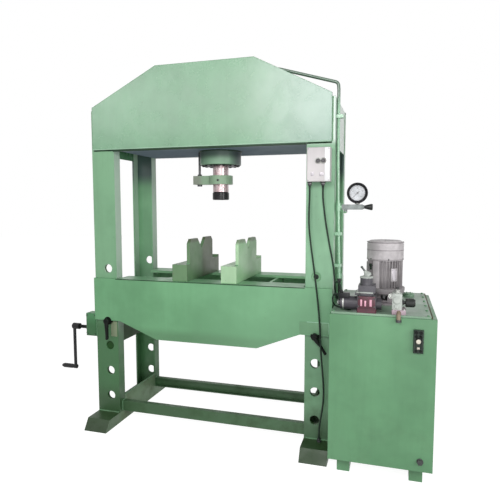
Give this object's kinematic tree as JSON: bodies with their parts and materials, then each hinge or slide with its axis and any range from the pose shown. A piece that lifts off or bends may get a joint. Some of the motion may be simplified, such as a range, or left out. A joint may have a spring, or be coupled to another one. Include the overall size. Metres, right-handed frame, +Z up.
{
  "type": "hydraulic press",
  "caption": "Floor-standing H-frame hydraulic press with a ram in its crosshead, a table raised by a hand winch on locking pins, V-blocks and a power pack beside it.",
  "frame": {"origin": "on the floor, under the middle of the machine's bounding box", "axes": "+X from the winch crank to the power pack, +Y from the operator's side to the rear, +Z up"},
  "size_m": [2.118, 0.872, 2.015],
  "materials": {
    "frame_green": "glossy green enamel",
    "ram_steel": "ground steel",
    "black_steel": "black, slightly worn",
    "black_plastic": "moulded black",
    "box_white": "pale grey enamel",
    "needle": "black",
    "clear_glass": "clear",
    "level_window": "white frame, clear window",
    "motor_grey": "grey paint",
    "rotor_steel": "turned",
    "pump_iron": "dark",
    "valve_grey": "phosphated",
    "relief_silver": "machined",
    "cable_black": "black sheath"
  },
  "bodies": {
    "frame": {"leg_front_left": "frame_green", "leg_front_right": "frame_green", "leg_rear_left": "frame_green", "leg_rear_right": "frame_green", "foot_left": "frame_green", "foot_right": "frame_green", "stretcher_front": "frame_green", "stretcher_rear": "frame_green", "crosshead_front_plate": "frame_green", "crosshead_rear_plate": "frame_green", "crosshead_floor": "frame_green", "crosshead_end_plate_left": "frame_green", "crosshead_end_plate_right": "frame_green", "cylinder_barrel": "frame_green", "cylinder_cap": "frame_green", "winch_housing": "frame_green", "winch_carrier": "frame_green", "control_box": "box_white", "control_box_cover": "box_white", "gauge_case": "black_plastic", "gauge_glass": "clear_glass", "gauge_block": "black_steel", "pressure_pipe": "frame_green", "pipe_clamps": "black_steel", "tank_body": "frame_green", "tank_lid": "frame_green", "level_gauge": "level_window", "motor_body": "motor_grey", "motor_cowl": "motor_grey", "bellhousing": "motor_grey", "pump": "pump_iron", "manifold": "pump_iron", "solenoid_valve": "valve_grey", "lever_valve": "valve_grey", "relief_block": "relief_silver", "control_cable": "cable_black", "motor_cable": "cable_black", "valve_hose": "cable_black"},
    "ram": {"ram": "ram_steel", "ram_nose": "black_steel", "ram_arm": "frame_green", "ram_guide_rod": "ram_steel"},
    "table": {"table_front_beam": "frame_green", "table_rear_beam": "frame_green", "table_cross_member_left": "frame_green", "table_cross_member_right": "frame_green", "v_block_left": "frame_green", "v_block_right": "frame_green"},
    "locking_pin_left": {"locking_pin_left": "black_steel"},
    "locking_pin_right": {"locking_pin_right": "black_steel"},
    "crank": {"winch_drum": "black_steel", "winch_crank": "black_steel"},
    "crank_grip": {"crank_grip": "black_plastic"},
    "push_button_left": {"push_button_left": "black_plastic"},
    "push_button_right": {"push_button_right": "black_plastic"},
    "isolator_knob": {"isolator_knob": "black_plastic"},
    "gauge_needle": {"gauge_needle": "needle"},
    "relief_knob": {"relief_knob": "black_plastic"},
    "valve_lever": {"valve_lever": "valve_grey"},
    "motor_rotor": {"motor_rotor": "rotor_steel"}
  },
  "joints": [
    {"name": "ram_slide", "type": "slide", "parent": "frame", "child": "ram", "axis": [0, 0, -1], "range_m": [-0.05, 0.15]},
    {"name": "table_lift", "type": "slide", "parent": "frame", "child": "table", "axis": [0, 0, 1], "range_m": [0, 0.15]},
    {"name": "locking_pin_left_pull", "type": "slide", "parent": "frame", "child": "locking_pin_left", "axis": [0, -1, 0], "range_m": [0, 0.53]},
    {"name": "locking_pin_right_pull", "type": "slide", "parent": "frame", "child": "locking_pin_right", "axis": [0, -1, 0], "range_m": [0, 0.53]},
    {"name": "crank_turn", "type": "hinge", "parent": "frame", "child": "crank", "pos_m": [-0.967, -0.184, 0.55], "axis": [-1, 0, 0], "range_deg": [0, 540]},
    {"name": "crank_grip_spin", "type": "hinge", "parent": "crank", "child": "crank_grip", "pos_m": [-1.011, -0.184, 0.3], "axis": [-1, 0, 0], "continuous": true},
    {"name": "push_button_left_press", "type": "slide", "parent": "frame", "child": "push_button_left", "axis": [0, 1, 0], "range_m": [0, 0.003], "stiffness_N_per_m": 600},
    {"name": "push_button_right_press", "type": "slide", "parent": "frame", "child": "push_button_right", "axis": [0, 1, 0], "range_m": [0, 0.003], "stiffness_N_per_m": 600},
    {"name": "isolator_turn", "type": "hinge", "parent": "frame", "child": "isolator_knob", "pos_m": [0.744, -0.164, 1.262], "axis": [1, 0, 0], "range_deg": [0, 360]},
    {"name": "gauge_needle_turn", "type": "hinge", "parent": "frame", "child": "gauge_needle", "pos_m": [0.688, -0.174, 1.331], "axis": [0, 1, 0], "range_deg": [0, 270]},
    {"name": "relief_knob_turn", "type": "hinge", "parent": "frame", "child": "relief_knob", "pos_m": [0.924, -0.369, 0.832], "axis": [1, 0, 0], "range_deg": [-360, 360]},
    {"name": "valve_lever_tilt", "type": "hinge", "parent": "frame", "child": "valve_lever", "pos_m": [0.7554, -0.344, 0.9473], "axis": [0, 1, 0], "range_deg": [-15, 15]},
    {"name": "motor_spin", "type": "hinge", "parent": "frame", "child": "motor_rotor", "pos_m": [0.826, -0.114, 0.9], "axis": [0, 0, 1], "continuous": true}
  ],
  "couplings": [
    {"joint": "crank_turn", "follows": "table_lift", "rad_per_m": 62.5}
  ]
}
